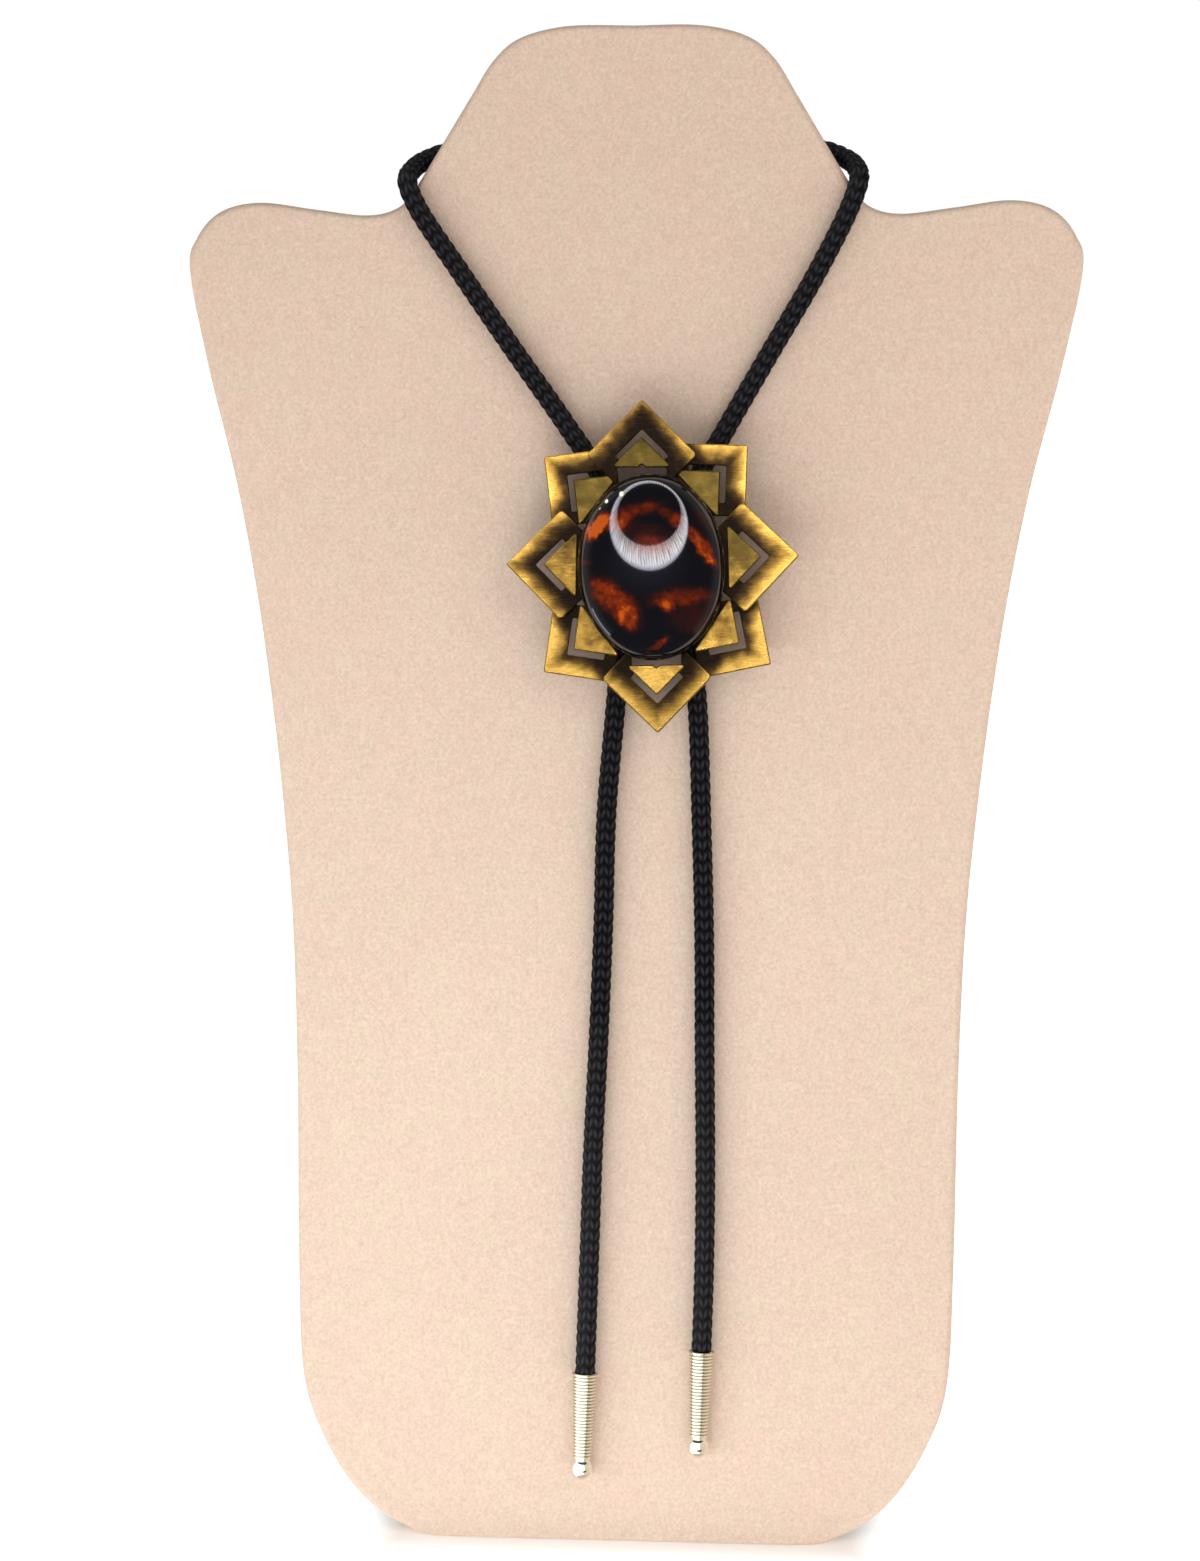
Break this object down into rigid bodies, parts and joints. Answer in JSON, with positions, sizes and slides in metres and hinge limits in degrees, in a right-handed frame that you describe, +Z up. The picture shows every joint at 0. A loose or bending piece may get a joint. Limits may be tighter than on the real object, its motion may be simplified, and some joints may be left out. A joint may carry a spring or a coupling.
{
  "type": "bolo tie on a neck display stand",
  "caption": "Bolo tie with a star-shaped brass slide round an oval tortoiseshell stone, black braided cord and ridged tips, worn by a flat velour neck board with an easel leg.",
  "frame": {"origin": "on the table under the middle of the stand and slide", "axes": "+Z up, the velour face looks along -Y and leans back, +X to the right as seen from the front"},
  "size_m": [0.1902, 0.092, 0.3154],
  "materials": {
    "velour": "pinkish-beige short-pile velour",
    "dark_card": "matt dark backing card",
    "braided_cord": "black round-braided nylon",
    "nickel": "bright warm nickel plating",
    "antique_brass": "antiqued brass, bright rims and dark brown patina",
    "dark_brass": "darkened brass",
    "tortoiseshell": "high-gloss near-black with orange-red patches"
  },
  "bodies": {
    "root": {"display_board": "velour", "back_panel": "dark_card", "easel_leg": "dark_card", "cord": "braided_cord", "left_tip": "nickel", "right_tip": "nickel", "cord_clip": "dark_brass", "rear_star": "antique_brass", "front_star": "antique_brass", "bezel_cup": "dark_brass", "cabochon": "tortoiseshell"}
  },
  "joints": []
}
